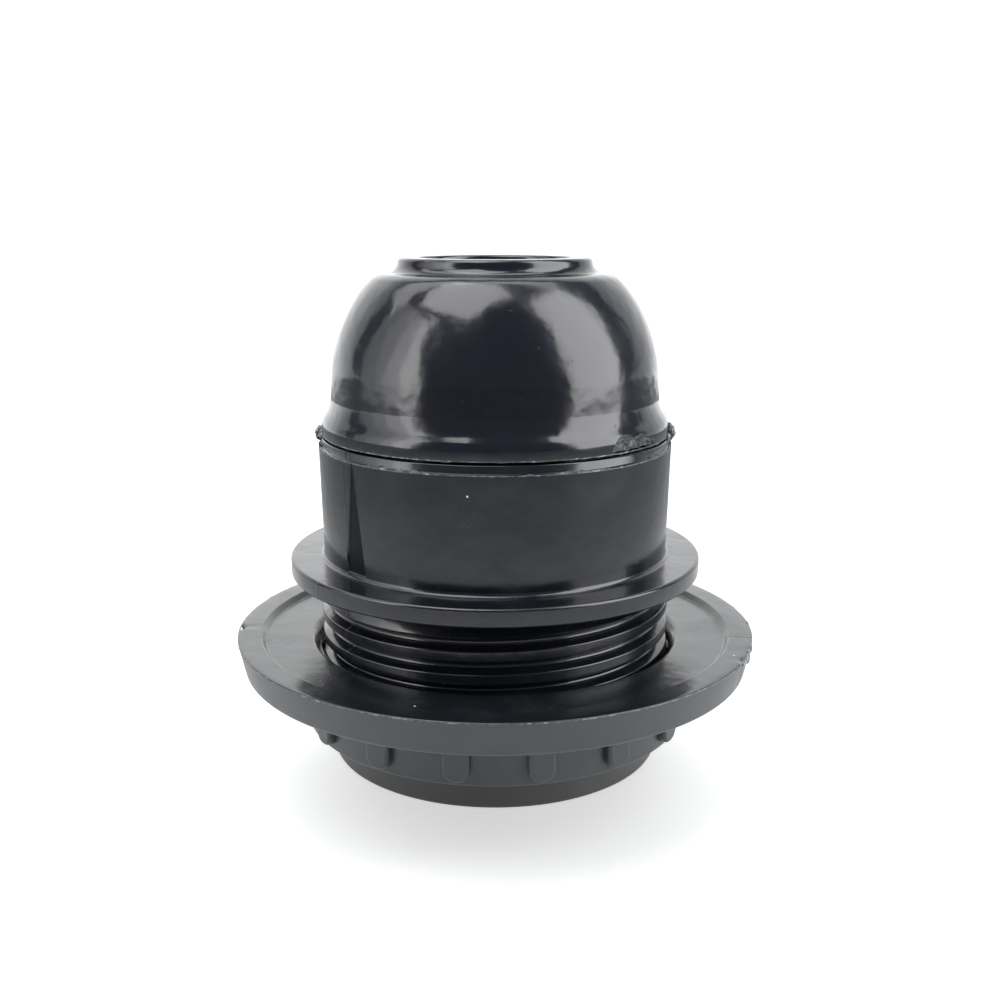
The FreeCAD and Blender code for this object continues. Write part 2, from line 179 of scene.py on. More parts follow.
# %% [markdown]
# ## Threads
# A thread is the same idea with one thing added: while its section turns, it also climbs. The
# spin operator does that with dvec, the rise for each step. Planes then cut the ridge off level
# at both ends, and there it is faded to the core, as the mould maker does, so that no thin edge
# chips off.

# %% A ridge wound about Z
THREAD_STEPS = 96
FADE_SLOPE = 1.2
FADE_START = 0.02


def wind(section, pitch, turns, steps):
    """Spin a section about Z while it climbs by the pitch in each turn."""
    count = round(turns * steps)
    bmesh.ops.spin(section, geom=section.verts[:] + section.edges[:], cent=(0, 0, 0), axis=(0, 0, 1),
                   dvec=(0, 0, pitch * MM / steps), angle=FULL_TURN * count / steps, steps=count)


def trim(shape, low, high):
    """Cut away what lies below low and above high."""
    for height, way in ((low, -1), (high, 1)):
        bmesh.ops.bisect_plane(shape, geom=shape.verts[:] + shape.edges[:] + shape.faces[:],
                               plane_co=(0, 0, height * MM), plane_no=(0, 0, way), clear_outer=True)


def thread(section, pitch, low, high, root, outward=True, steps=THREAD_STEPS):
    """Ridge between two heights; the section's heights are measured from its own middle."""
    start = low - pitch / 2
    ridge = section_of([(corner[0], corner[1] + start) + tuple(corner[2:]) for corner in section])
    wind(ridge, pitch, (high - low) / pitch + 1, steps)
    trim(ridge, low, high)
    side = 1 if outward else -1
    for point in ridge.verts:
        reach = min(point.co.z - low * MM, high * MM - point.co.z) * FADE_SLOPE + FADE_START * MM
        limit = root * MM + side * reach
        radius = math.hypot(point.co.x, point.co.y)
        if (radius - limit) * side > 0:
            point.co.x *= limit / radius
            point.co.y *= limit / radius
    bmesh.ops.holes_fill(ridge, edges=[edge for edge in ridge.edges if edge.is_boundary], sides=0)
    return ridge


def joining_section(sunk_r, crest_r):
    """Section of the threads inside the holder: a low ridge with a soft crest."""
    return [(sunk_r, -0.85), (sunk_r, 0.85), (crest_r, 0.3, 0.15, 3), (crest_r, -0.3, 0.15, 3)]


print("threads are wound with", THREAD_STEPS, "steps in a turn, the large outside one with more")

# %% [markdown]
# ## Flash and small lumps
# Where two halves of a mould meet, a little resin squeezes out. It cools into a thin ragged
# fin called flash, and the press hand breaks most of it off. We spin a low fin and let smooth
# noise decide how much of it is left at each place round the edge. A lump is a ball that noise
# has made uneven, and a dent moves points that are there already.

# %% Places on the holder
def direction(degrees):
    """Unit vector at this azimuth; 0 is the front (-Y), positive towards +X."""
    angle = math.radians(degrees)
    return Vector((math.sin(angle), -math.cos(angle), 0))


def azimuth_of(point):
    return math.degrees(math.atan2(point.x, -point.y))


def spot(degrees, radius, height):
    """Point at an azimuth, with its radius and height in millimetres."""
    return direction(degrees) * radius * MM + Vector((0, 0, height * MM))


def fill_slot(shape, slot):
    """Give every face of a shape the same material slot."""
    for face in shape.faces:
        face.material_index = slot


print("azimuth of a point at the right", azimuth_of(spot(90, 20, 0)))


# %% A ragged fin, a lump, and a dent
FIN_ROOT = 0.1
FIN_STEPS = 540
LUMP_GRAIN, LUMP_ROUGHNESS = 0.5, 0.25
DENT_DROP = 0.6


def fin(radius, height, width, growth, upward, share, grain, places=()):
    """Flash round an edge: height it grows to, share that is left, and places where it is larger."""
    way = 1 if upward else -1
    ridge = turned([(radius - width, height - FIN_ROOT * way), (radius, height - FIN_ROOT * way),
                    (radius, height), (radius - width, height)], steps=FIN_STEPS)
    for point in ridge.verts:
        if (point.co.z / MM - height) * way < -FIN_ROOT / 2:
            continue
        level = noise.noise(point.co / (grain * MM)) + 0.5 * noise.noise(point.co / (grain * 0.3 * MM))
        left = max(0.0, min(1.0, 0.5 + level - (1 - share)))
        for centre, spread, extra in places:
            away = abs((azimuth_of(point.co) - centre + 180) % 360 - 180)
            left += extra * max(0.0, 1 - away / spread) * (0.6 + level)
        point.co.z += way * growth * left * MM
    return ridge


def lump(degrees, radius, height, sizes):
    """Uneven blob on the outside; sizes are across, round and up."""
    blob = bmesh.new()
    bmesh.ops.create_icosphere(blob, subdivisions=4, radius=1.0)
    for point in blob.verts:
        level = noise.noise(point.co / LUMP_GRAIN + Vector((degrees, 0, 0)))
        point.co *= 1 + LUMP_ROUGHNESS * level
    bmesh.ops.scale(blob, vec=Vector(sizes) * MM, verts=blob.verts)
    bmesh.ops.rotate(blob, verts=blob.verts, cent=(0, 0, 0),
                     matrix=Matrix.Rotation(math.radians(degrees - 90), 3, "Z"))
    bmesh.ops.translate(blob, verts=blob.verts, vec=spot(degrees, radius, height))
    return blob


def dent(shape, degrees, radius, height, size, depth):
    """Push the surface near a point inwards and down, as a knock on an upper edge does."""
    centre = spot(degrees, radius, height)
    push = direction(degrees) + Vector((0, 0, DENT_DROP))
    for point in shape.verts:
        near = 1 - (point.co - centre).length / (size * MM)
        if near > 0:
            point.co -= push * depth * MM * near


print("a fin starts", FIN_ROOT, "mm deep in the edge that it stands on")

# %% [markdown]
# ## One node at a time
# Materials are built from nodes. This helper adds one node, gives it its settings and plugs in
# whatever feeds it. A setting is a plain value or the output of another node, and a colour ramp
# is also told where its colours stand.

# %% Helpers for materials
def linear(hex_colour):
    """sRGB hex to the linear colour that Blender works in."""
    values = [int(hex_colour[i:i + 2], 16) / 255 for i in (1, 3, 5)]
    return tuple(v / 12.92 if v <= 0.04045 else ((v + 0.055) / 1.055) ** 2.4 for v in values) + (1.0,)


def per_mm(size):
    """Texture scale for a pattern of this size in millimetres."""
    return 1 / (size * MM)


def plug(tree, node, inputs):
    """Give a node its inputs; each is a value or the output of another node."""
    for key, value in inputs.items():
        if isinstance(value, bpy.types.NodeSocket):
            tree.links.new(value, node.inputs[key])
        else:
            node.inputs[key].default_value = value


def add(tree, kind, inputs, stops=(), **settings):
    """Add a node with its settings and inputs; a stop of a ramp is (position, hex colour)."""
    node = tree.nodes.new(kind)
    for key, value in settings.items():
        setattr(node, key, value)
    plug(tree, node, inputs)
    if stops:
        ends = node.color_ramp.elements
        ends[0].position, ends[1].position = stops[0][0], stops[-1][0]
        ends[0].color, ends[1].color = linear(stops[0][1]), linear(stops[-1][1])
        for position, hex_colour in stops[1:-1]:
            node.color_ramp.elements.new(position).color = linear(hex_colour)
    return node


def new_material(name):
    material = bpy.data.materials.new(name)
    material.use_nodes = True
    tree = material.node_tree
    tree.nodes.clear()
    shader = add(tree, "ShaderNodeBsdfPrincipled", {})
    add(tree, "ShaderNodeOutputMaterial", {"Surface": shader.outputs["BSDF"]})
    place = add(tree, "ShaderNodeTexCoord", {}).outputs["Object"]
    return material, tree, shader, place


print("black thermoset, linear", [round(v, 4) for v in linear("#101317")])

# %% [markdown]
# ## Black thermoset
# The cap, the shell and the ring are phenolic resin with wood flour in it, a thermoset that is
# pressed hot in steel moulds. It is almost black, so the eye reads it only by its reflections.
# Where the mould was polished they are sharp but a little wavy, because the powder flowed.
# Fine pits, pale dust and rubbed patches scatter the light, and a parting line is a thin dark
# step. The refractive index of such resin is about 1.6.

# %% Where the parting lines run
def azimuth_in(tree, place):
    """Angle about Z in degrees, 0 at the front (-Y), positive towards +X."""
    parts = add(tree, "ShaderNodeSeparateXYZ", {"Vector": place})
    back = add(tree, "ShaderNodeMath", {0: parts.outputs["Y"], 1: -1.0}, operation="MULTIPLY")
    angle = add(tree, "ShaderNodeMath", {0: parts.outputs["X"], 1: back.outputs[0]}, operation="ARCTAN2")
    degrees = add(tree, "ShaderNodeMath", {0: angle.outputs[0], 1: 180 / math.pi}, operation="MULTIPLY")
    return degrees.outputs[0]


def outside_of(tree, place, radius):
    """1 farther from the axis than a radius in millimetres, 0 nearer."""
    level = add(tree, "ShaderNodeVectorMath", {0: place, 1: (1, 1, 0)}, operation="MULTIPLY")
    away = add(tree, "ShaderNodeVectorMath", {0: level.outputs["Vector"]}, operation="LENGTH")
    beyond = add(tree, "ShaderNodeMath", {0: away.outputs["Value"], 1: radius * MM},
                 operation="GREATER_THAN")
    return beyond.outputs[0]


def near_seam(tree, place, angle, degrees, half_width, from_radius):
    """1 on a line at this azimuth, fading to 0 at half_width degrees; 0 nearer than from_radius."""
    away = add(tree, "ShaderNodeMath", {0: angle, 1: -degrees}, operation="ADD")
    far = add(tree, "ShaderNodeMath", {0: away.outputs[0]}, operation="ABSOLUTE")
    line = add(tree, "ShaderNodeMapRange", {"Value": far.outputs[0], "From Min": 0.0,
                                            "From Max": half_width, "To Min": 1.0, "To Max": 0.0})
    outside = outside_of(tree, place, from_radius)
    both = add(tree, "ShaderNodeMath", {0: line.outputs["Result"], 1: outside}, operation="MULTIPLY")
    return both.outputs[0]


print("parting line masks are ready")


# %% Gloss and dust
CLOUD_SIZE, FINE_SIZE = 8, 0.3
DUST_SPACING, DUST_SHARE, DUST_COLOUR = 2.6, 0.1, "#B9BBBA"


def gloss_with_grain(tree, rubbed, fine, gloss, worn_gloss):
    """Roughness: as smooth as the mould, duller where it is rubbed, with a fine grain in both."""
    grain = add(tree, "ShaderNodeMapRange", {"Value": fine, "From Min": 0.35, "From Max": 0.75,
                                             "To Min": -0.01, "To Max": 0.03})
    base = add(tree, "ShaderNodeMapRange", {"Value": rubbed, "To Min": gloss, "To Max": worn_gloss})
    sides = {0: base.outputs["Result"], 1: grain.outputs["Result"]}
    return add(tree, "ShaderNodeMath", sides, operation="ADD").outputs[0]


def dusty_spots(tree, place):
    """1 on a pale speck in a few cells of a loose pattern, 0 elsewhere."""
    specks = add(tree, "ShaderNodeTexVoronoi", {"Vector": place, "Scale": per_mm(DUST_SPACING)})
    chosen = add(tree, "ShaderNodeSeparateColor", {"Color": specks.outputs["Color"]})
    few = add(tree, "ShaderNodeMath", {0: chosen.outputs["Red"], 1: 1 - DUST_SHARE},
              operation="GREATER_THAN")
    spots = add(tree, "ShaderNodeMapRange", {
        "Value": specks.outputs["Distance"], "From Min": 0.03, "From Max": 0.055,
        "To Min": 1.0, "To Max": 0.0})
    both = {0: spots.outputs["Result"], 1: few.outputs[0]}
    return add(tree, "ShaderNodeMath", both, operation="MULTIPLY").outputs[0]


print("one dust cell in", round(1 / DUST_SHARE), "holds a speck")


# %% Waves, pits and grain
FLOW_SIZE, FLOW_DEPTH = 4.5, 0.35
PIT_SPACING, PIT_DEPTH = 1.9, 0.04


def moulded_relief(tree, place, fine, wave, grain_depth):
    """Normal with slow waves where the powder flowed, small pits, and a fine grain."""
    flow = add(tree, "ShaderNodeTexNoise", {"Vector": place, "Scale": per_mm(FLOW_SIZE), "Detail": 2.5})
    dots = add(tree, "ShaderNodeTexVoronoi", {"Vector": place, "Scale": per_mm(PIT_SPACING)})
    pits = add(tree, "ShaderNodeMapRange", {
        "Value": dots.outputs["Distance"], "From Min": 0.03, "From Max": 0.08})
    waved = add(tree, "ShaderNodeBump", {
        "Height": flow.outputs["Fac"], "Strength": wave, "Distance": FLOW_DEPTH * MM})
    pitted = add(tree, "ShaderNodeBump", {
        "Height": pits.outputs["Result"], "Normal": waved.outputs[0], "Strength": 0.35,
        "Distance": PIT_DEPTH * MM})
    grained = add(tree, "ShaderNodeBump", {
        "Height": fine, "Normal": pitted.outputs[0], "Strength": 0.1, "Distance": grain_depth * MM})
    return grained.outputs[0]


print("flow waves are", FLOW_SIZE, "mm apart, pits", PIT_SPACING, "mm")


# %% Moulded black
THERMOSET_IOR = 1.6
SEAM_DEPTH, SEAM_SHADE, SEAM_COLOUR = 0.12, 0.8, "#050506"


def moulded_black(name, colour, worn_colour, gloss, worn_gloss, wave, grain_depth, seams=()):
    """Pressed thermoset; a seam is (azimuth, half its width in degrees, radius it starts from)."""
    material, tree, shader, place = new_material(name)
    clouds = add(tree, "ShaderNodeTexNoise", {"Vector": place, "Scale": per_mm(CLOUD_SIZE), "Detail": 5.0})
    rubbed = add(tree, "ShaderNodeMapRange", {
        "Value": clouds.outputs["Fac"], "From Min": 0.5, "From Max": 0.7}).outputs["Result"]
    fine = add(tree, "ShaderNodeTexNoise", {
        "Vector": place, "Scale": per_mm(FINE_SIZE), "Detail": 3.0}).outputs["Fac"]
    rough = gloss_with_grain(tree, rubbed, fine, gloss, worn_gloss)
    tint = add(tree, "ShaderNodeMix", {"Factor": rubbed, "A": linear(colour), "B": linear(worn_colour)},
               data_type="RGBA").outputs["Result"]
    tint = add(tree, "ShaderNodeMix", {
        "Factor": dusty_spots(tree, place), "A": tint, "B": linear(DUST_COLOUR)},
        data_type="RGBA").outputs["Result"]
    normal = moulded_relief(tree, place, fine, wave, grain_depth)
    angle = azimuth_in(tree, place)
    for degrees, half_width, from_radius in seams:
        line = near_seam(tree, place, angle, degrees, half_width, from_radius)
        normal = add(tree, "ShaderNodeBump", {
            "Height": line, "Normal": normal, "Strength": 0.9,
            "Distance": SEAM_DEPTH * MM}).outputs[0]
        dark = add(tree, "ShaderNodeMath", {0: line, 1: SEAM_SHADE}, operation="MULTIPLY").outputs[0]
        tint = add(tree, "ShaderNodeMix", {"Factor": dark, "A": tint, "B": linear(SEAM_COLOUR)},
                   data_type="RGBA").outputs["Result"]
    plug(tree, shader, {"Base Color": tint, "Roughness": rough, "Normal": normal, "IOR": THERMOSET_IOR})
    return material


cap_black = moulded_black("thermoset_polished_cap", "#0A0D15", "#10131B", 0.15, 0.21, 0.42, 0.01)
shell_black = moulded_black("thermoset_polished_shell", "#0B0E14", "#12151A", 0.18, 0.26, 0.3, 0.01,
                            seams=((-53, 0.35, 0.0), (127, 0.35, 0.0)))
print("polished thermoset for the cap and the shell")

# %% [markdown]
# ## Satin thermoset and a broken edge
# The ring's face comes from a polished mould too. Its rim, its ribbed grip and the shell's end
# band are satin and dark grey, because hands and the bench have rubbed them.
#
# Three finishes show resin that tore. Where the cap's lip is broken, the wood-flour filler makes
# a dull, granular grey. Flash is so thin that light scatters in its torn edge, so it looks paler.
# The scar where the moulds were prised apart is dull and darker than the skin beside it, with
# hardly any gloss left.

# %% Ring face, satin grip and rubbed band
ring_black = moulded_black("thermoset_polished_ring_face", "#101316", "#1B1E21", 0.2, 0.34, 0.2, 0.02,
                           seams=((79, 0.4, 27.0),))
ring_satin = moulded_black("thermoset_satin_grip", "#2B3034", "#363B3F", 0.42, 0.5, 0.1, 0.03,
                           seams=((79, 0.3, 0.0),))
band_rubbed = moulded_black("thermoset_rubbed_band", "#2C2D2C", "#383837", 0.45, 0.55, 0.1, 0.03)
print("ring face, satin grip and rubbed band")


# %% Fracture, flash and torn seam
def torn_thermoset(name, grain, stops, relief, depth, roughness, detail=5.0, specular=0.5):
    """Granular torn resin; grain and depth are in millimetres."""
    material, tree, shader, place = new_material(name)
    grains = add(tree, "ShaderNodeTexNoise", {
        "Vector": place, "Scale": per_mm(grain), "Detail": detail}).outputs["Fac"]
    colour = add(tree, "ShaderNodeValToRGB", {"Fac": grains}, stops=stops)
    bump = add(tree, "ShaderNodeBump", {"Height": grains, "Strength": relief, "Distance": depth * MM})
    plug(tree, shader, {"Base Color": colour.outputs["Color"], "Normal": bump.outputs[0],
                        "Roughness": roughness, "IOR": THERMOSET_IOR, "Specular IOR Level": specular})
    return material


fracture = torn_thermoset("thermoset_broken_edge", 0.28,
                          ((0.32, "#202224"), (0.55, "#505356"), (0.75, "#86898B")),
                          0.9, 0.2, 0.7, detail=6.0)
torn = torn_thermoset("thermoset_torn_seam", 0.6, ((0.35, "#040507"), (0.7, "#0E1116")),
                      0.6, 0.1, 0.5, specular=0.1)
flash = torn_thermoset("thermoset_torn_flash", 0.5,
                       ((0.35, "#1B1E21"), (0.55, "#4A4E52"), (0.7, "#8B9093")), 0.8, 0.12, 0.35)
print("fracture, torn seam and flash")

# %% [markdown]
# ## Metals and porcelain
# The bush is die-cast zinc, dull grey with a cast skin. Screws are steel with a thin zinc plate.
# The lamp's screw shell is drawn brass with a nickel flash, and the tongue, plates and rivets
# are bare brass that has gone a little brown. The insert is unglazed electrical porcelain, a
# matt off-white that looks soft because light enters it a little.

# %% Metals
def metal(name, bright, dull, patch, gloss, dull_gloss, grain, depth):
    """Bare or plated metal with duller patches; patch, grain and depth are in millimetres."""
    material, tree, shader, place = new_material(name)
    clouds = add(tree, "ShaderNodeTexNoise", {"Vector": place, "Scale": per_mm(patch), "Detail": 5.0})
    mix = add(tree, "ShaderNodeMapRange", {
        "Value": clouds.outputs["Fac"], "From Min": 0.4, "From Max": 0.65}).outputs["Result"]
    tint = add(tree, "ShaderNodeMix", {"Factor": mix, "A": linear(bright), "B": linear(dull)},
               data_type="RGBA")
    rough = add(tree, "ShaderNodeMapRange", {"Value": mix, "To Min": gloss, "To Max": dull_gloss})
    fine = add(tree, "ShaderNodeTexNoise", {"Vector": place, "Scale": per_mm(grain), "Detail": 3.0})
    bump = add(tree, "ShaderNodeBump", {
        "Height": fine.outputs["Fac"], "Strength": 0.4, "Distance": depth * MM})
    plug(tree, shader, {"Base Color": tint.outputs["Result"], "Roughness": rough.outputs["Result"],
                        "Normal": bump.outputs[0], "Metallic": 1.0})
    return material


zinc = metal("zinc_die_cast", "#B9BBBE", "#94979B", 1.2, 0.34, 0.5, 0.2, 0.03)
plated_steel = metal("steel_zinc_plated", "#C6C8CA", "#A6A8AC", 0.8, 0.22, 0.36, 0.15, 0.01)
nickel_brass = metal("brass_nickel_flash", "#D8CDB2", "#B9A676", 2.5, 0.2, 0.32, 0.3, 0.01)
sheet_brass = metal("brass_hard_sheet", "#D9B765", "#A9843F", 2.0, 0.24, 0.4, 0.2, 0.01)
rivet_brass = metal("brass_drawn_rivet", "#DDBE72", "#B08C4A", 0.6, 0.2, 0.34, 0.15, 0.01)
print("zinc, plated steel and three kinds of brass")


# %% Porcelain
def unglazed_porcelain():
    material, tree, shader, place = new_material("porcelain_unglazed")
    cloud = add(tree, "ShaderNodeTexNoise", {"Vector": place, "Scale": per_mm(3.5), "Detail": 5.0})
    speck = add(tree, "ShaderNodeTexNoise", {"Vector": place, "Scale": per_mm(0.25), "Detail": 2.0})
    colour = add(tree, "ShaderNodeValToRGB", {"Fac": cloud.outputs["Fac"]},
                 stops=((0.35, "#DDD6C6"), (0.65, "#EAE5DA")))
    bump = add(tree, "ShaderNodeBump", {
        "Height": speck.outputs["Fac"], "Strength": 0.4, "Distance": 0.05 * MM})
    plug(tree, shader, {"Base Color": colour.outputs["Color"], "Normal": bump.outputs[0],
                        "Roughness": 0.6, "IOR": 1.55, "Subsurface Weight": 0.1,
                        "Subsurface Radius": (0.8 * MM, 0.6 * MM, 0.4 * MM)})
    return material


porcelain = unglazed_porcelain()
print("unglazed porcelain for the insert")

# %% Finishes for the parts that keep the model's own shape
FINISHES = {
    "contact_block": porcelain,
    "centre_contact": sheet_brass,
    "live_plate": sheet_brass,
    "neutral_plate": sheet_brass,
    "live_rivet": rivet_brass,
    "neutral_rivet": rivet_brass,
    "shell_rivets": rivet_brass,
    "terminal_screws": plated_steel,
    "clamp_washers": plated_steel,
    "locking_screw": plated_steel,
}
for node, finish in FINISHES.items():
    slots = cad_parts[node].data.materials
    slots.clear()
    slots.append(finish)
print("finished nodes", len(FINISHES))

# %% [markdown]
# ## The shell
# Below: a plain band, the 40 mm thread for lampshades, and the flange that a shade hangs
# against. Above: a plain body with a little draft, so that it leaves the mould, and a low bead
# that the cap closes on. It is hollow, with a ledge for the insert. One turned section makes all
# of it, and two threads are wound onto it, outside for the ring and inside for the cap.

# %% Shell sizes
band_r, band_height = 19.0, 4.2
thread_crest_r, thread_root_r, thread_pitch = 20.0, 18.9, 2.5
thread_top, flange_foot, flange_top = 20.6, 21.5, 23.5
body_foot_r, body_top_r, shoulder = 19.6, 19.9, 36.05
bead_r, neck_bore_r, neck_bore_floor = 19.55, 18.35, 31.1
seat_bore_r, seat_height, mouth_bore_r = 17.0, 26.0, 16.0
inner_crest_r = 17.78
RUBBED_SLOT, FLASH_SLOT, TORN_SLOT = 1, 2, 3
print("wall of the body", round(body_foot_r - neck_bore_r, 2), "mm")

# %% Shell
shell_shape = turned([
    (mouth_bore_r, 0, 0.6, 3),
    (band_r, 0, 0.5, 4),
    (band_r, band_height, 0.12, 2),
    (thread_root_r, band_height),
    (thread_root_r, flange_foot, 0.2, 3),
    (flange_r, flange_foot, 0.3, 5),
    (flange_r, flange_top, 0.3, 5),
    (body_foot_r, flange_top, 0.5, 6),
    (body_top_r, shoulder, 0.14, 3),
    (bead_r, shoulder + 0.07, 0.05, 2),
    (bead_r, bead_top, 0.12, 3),
    (neck_bore_r, bead_top, 0.3, 3),
    (neck_bore_r, neck_bore_floor, 0.2, 3),
    (seat_bore_r, neck_bore_floor, 0.2, 3),
    (seat_bore_r, seat_height, 0.15, 3),
    (mouth_bore_r, seat_height, 0.15, 3)])
for face in shell_shape.faces:
    if face.calc_center_median().z < (band_height + 0.1) * MM:
        face.material_index = RUBBED_SLOT
print("shell section spun into", len(shell_shape.faces), "faces")

# %% [markdown]
# ### The torn parting line
# Beside one parting line a long thin wedge of skin came away with the mould and left a shallow
# scar, wider at the flange than at the shoulder. Two bisect planes cut its sides into the wall,
# and inset_region sinks the faces between them.

# %% The torn parting line on the body
SCAR_FOOT_GAP, SCAR_TOP_GAP = 0.45, 0.3
SCAR_SEARCH = 9
SCAR_EDGE = 0.08


def outer_wall(shape, degrees, low, high):
    """Faces of the body's outside near an azimuth, between two heights."""
    wall = []
    for face in shape.faces:
        middle = face.calc_center_median()
        close = abs(azimuth_of(middle) - degrees) < SCAR_SEARCH
        outside = math.hypot(middle.x, middle.y) > (neck_bore_r + 0.8) * MM
        if close and outside and low * MM < middle.z < high * MM:
            wall.append(face)
    return wall


def tear_seam(shape, degrees, foot_reach, top_reach, depth):
    """Sink a narrow wedge; its reaches are degrees to each side of the azimuth."""
    foot, top = flange_top + SCAR_FOOT_GAP, shoulder - SCAR_TOP_GAP
    wall = outer_wall(shape, degrees, foot, top)
    for side in (-1, 1):
        low = spot(degrees + side * foot_reach, body_foot_r, foot)
        high = spot(degrees + side * top_reach, body_top_r, top)
        across = direction(degrees).cross(high - low).normalized()
        edges = {edge for face in wall for edge in face.edges}
        points = {point for face in wall for point in face.verts}
        made = bmesh.ops.bisect_plane(shape, geom=list(set(wall) | edges | points),
                                      plane_co=low, plane_no=across)
        wall = [item for item in made["geom"] if isinstance(item, bmesh.types.BMFace)]
    torn_faces = []
    for face in wall:
        middle = face.calc_center_median()
        share = (middle.z / MM - foot) / (top - foot)
        reach = foot_reach + (top_reach - foot_reach) * share
        if abs(azimuth_of(middle) - degrees) < reach:
            torn_faces.append(face)
    bmesh.ops.inset_region(shape, faces=torn_faces, thickness=SCAR_EDGE * MM, depth=-depth * MM,
                           use_even_offset=True)
    for face in torn_faces:
        face.material_index = TORN_SLOT
    print("torn seam faces", len(torn_faces))


tear_seam(shell_shape, -48.5, 5.0, 0.8, 0.12)

# %% [markdown]
# ### Threads and flash
# The outside thread has rounded crests and soft roots, because a lampshade's ring is screwed on
# by hand. Its ridges almost touch at their feet: half_pitch leaves a hair between two turns, so
# that they never share a face. A little flash stands on the body's upper edge, with more of it
# at a few places.

# %% Threads and flash on the shell
half_pitch = thread_pitch / 2 - 0.005
thread_foot_r = thread_root_r + 0.03
thread_sunk_r = thread_root_r - 0.4
foot_half, crest_half = 0.97, 0.525
join_to(shell_shape, thread([
    (thread_sunk_r, -half_pitch),
    (thread_foot_r, -half_pitch),
    (thread_foot_r, -foot_half, 0.22, 4),
    (thread_crest_r, -crest_half, 0.11, 3),
    (thread_crest_r, crest_half, 0.11, 3),
    (thread_foot_r, foot_half, 0.22, 4),
    (thread_foot_r, half_pitch),
    (thread_sunk_r, half_pitch)], thread_pitch, band_height, thread_top, thread_root_r, steps=120))
join_to(shell_shape, thread(joining_section(neck_bore_r + 0.25, inner_crest_r), thread_pitch,
                            neck_bore_floor + 0.5, bead_top - 0.6, neck_bore_r, outward=False))
shoulder_flash = fin(body_top_r, shoulder, 0.12, 0.22, True, 0.55, 1.6,
                     places=((-30, 12, 1.2), (25, 8, 0.9), (-86, 9, 1.0), (86, 9, 1.0)))
fill_slot(shoulder_flash, FLASH_SLOT)
join_to(shell_shape, shoulder_flash)
finish_piece("shell_moulding", shell_shape, [shell_black, band_rubbed, flash, torn], "shell",
             ["outer_shell"])

# %% [markdown]
# ## The cap
# The cap is a dome that runs softly into a short collar. The collar's recess takes the cable
# entry. The lower lip stands a little proud of the wall, with a soft shoulder, and a threaded
# neck goes down into the shell. Lumps of flash are left where the halves of the mould met.

# %% Cap sizes
lip_r, lip_foot, lip_top = outer_radius("dome_cap"), 37.3, 38.8
wall_foot_r, wall_foot = lip_r - 1.05, 40.4
wall_top_r, wall_top = wall_foot_r - 0.4, 49.9
crown_r, crown = wall_top_r - 5.0, 54.9
collar_r, recess_r, recess_floor = 10.7, 8.4, 52.75
bush_hole_r, ceiling = 6.1, 50.45
neck_core_r, neck_crest_r, neck_inner_r = 17.05, 17.6, 16.0
MOULDED_SLOT, FRACTURE_SLOT = 0, 1
print("cap lip radius", round(lip_r, 2), "mm")

# %% Cap
cap_shape = turned([
    (neck_inner_r, neck_foot, 0.3, 3),
    (neck_core_r, neck_foot, 0.25, 3),
    (neck_core_r, lip_foot, 0.2, 3),
    (lip_r, lip_foot, 0.12, 3),
    (lip_r, lip_top, 0.5, 8),
    (wall_foot_r, wall_foot, 1.0, 10),
    (wall_top_r, wall_top, 5.757, 28),
    (crown_r, crown, 1.0, 10),
    (collar_r + 0.35, crown, 0.95, 10),
    (collar_r, collar_top, 0.4, 6),
    (recess_r, collar_top, 0.4, 5),
    (recess_r, recess_floor, 0.35, 5),
    (bush_hole_r, recess_floor),
    (bush_hole_r, ceiling, 0.1, 2),
    (neck_inner_r, ceiling, 5.0, 12)])
cap = finish_piece("cap_moulding", cap_shape, [cap_black, fracture, flash], "cap", ["dome_cap"])

# %% [markdown]
# ### The broken lip
# At one place a shell-shaped flake has broken off the lip. Three rough cutters, each smaller than
# the one before, are taken out of the cap with exact booleans, and each leaves its fracture
# material on the new faces. A boolean wants one closed skin, and a ridge that overlaps it may be
# lost, so the neck's thread is added after the break. Then comes what is left of the flash: a low
# fin under the lip, and two lumps at each side, where the halves of the mould met.

# %% Break the lip
BITE_WAVE, BITE_GRAIN = 0.9, 0.3


def bite(degrees, radius, edge_radius, reach, height):
    """Rough ball that cuts into the edge by reach."""
    ball = bmesh.new()
    bmesh.ops.create_icosphere(ball, subdivisions=5, radius=radius * MM)
    for point in ball.verts:
        wave = noise.noise(point.co / (BITE_WAVE * MM))
        grain = noise.noise(point.co / (BITE_GRAIN * MM))
        point.co *= 1 + 0.09 * wave + 0.03 * grain
    bmesh.ops.translate(ball, verts=ball.verts, vec=spot(degrees, edge_radius - reach + radius, height))
    fill_slot(ball, FRACTURE_SLOT)
    return ball


def break_out(piece, bites):
    """Take each bite out of the piece for good."""
    piece.modifiers.clear()
    cutters = [in_scene("bite", mesh_of("bite", ball, piece.data.materials)) for ball in bites]
    for cutter in cutters:
        cut = piece.modifiers.new("break", "BOOLEAN")
        cut.operation = "DIFFERENCE"
        cut.solver = "EXACT"
        cut.object = cutter
    graph = bpy.context.evaluated_depsgraph_get()
    broken = bpy.data.meshes.new_from_object(piece.evaluated_get(graph))
    piece.modifiers.clear()
    piece.data = broken
    for cutter in cutters:
        bpy.data.objects.remove(cutter)
    shade(piece)


break_out(cap, [bite(degrees, size, lip_r, 1.0, lip_foot - 0.1)
                for degrees, size in ((43.5, 2.6), (50, 2.1), (56.5, 1.6))])
print("cap faces after the break", len(cap.data.polygons))


# %% Add the neck's thread and what is left of the flash
def add_to(piece, shapes, slot):
    """Join more faces to a finished piece."""
    whole = bmesh.new()
    whole.from_mesh(piece.data)
    for shape in shapes:
        bmesh.ops.recalc_face_normals(shape, faces=shape.faces)
        fill_slot(shape, slot)
        join_to(whole, shape)
    whole.to_mesh(piece.data)
    whole.free()
    piece.data.set_sharp_from_angle(angle=SOFT_ANGLE)


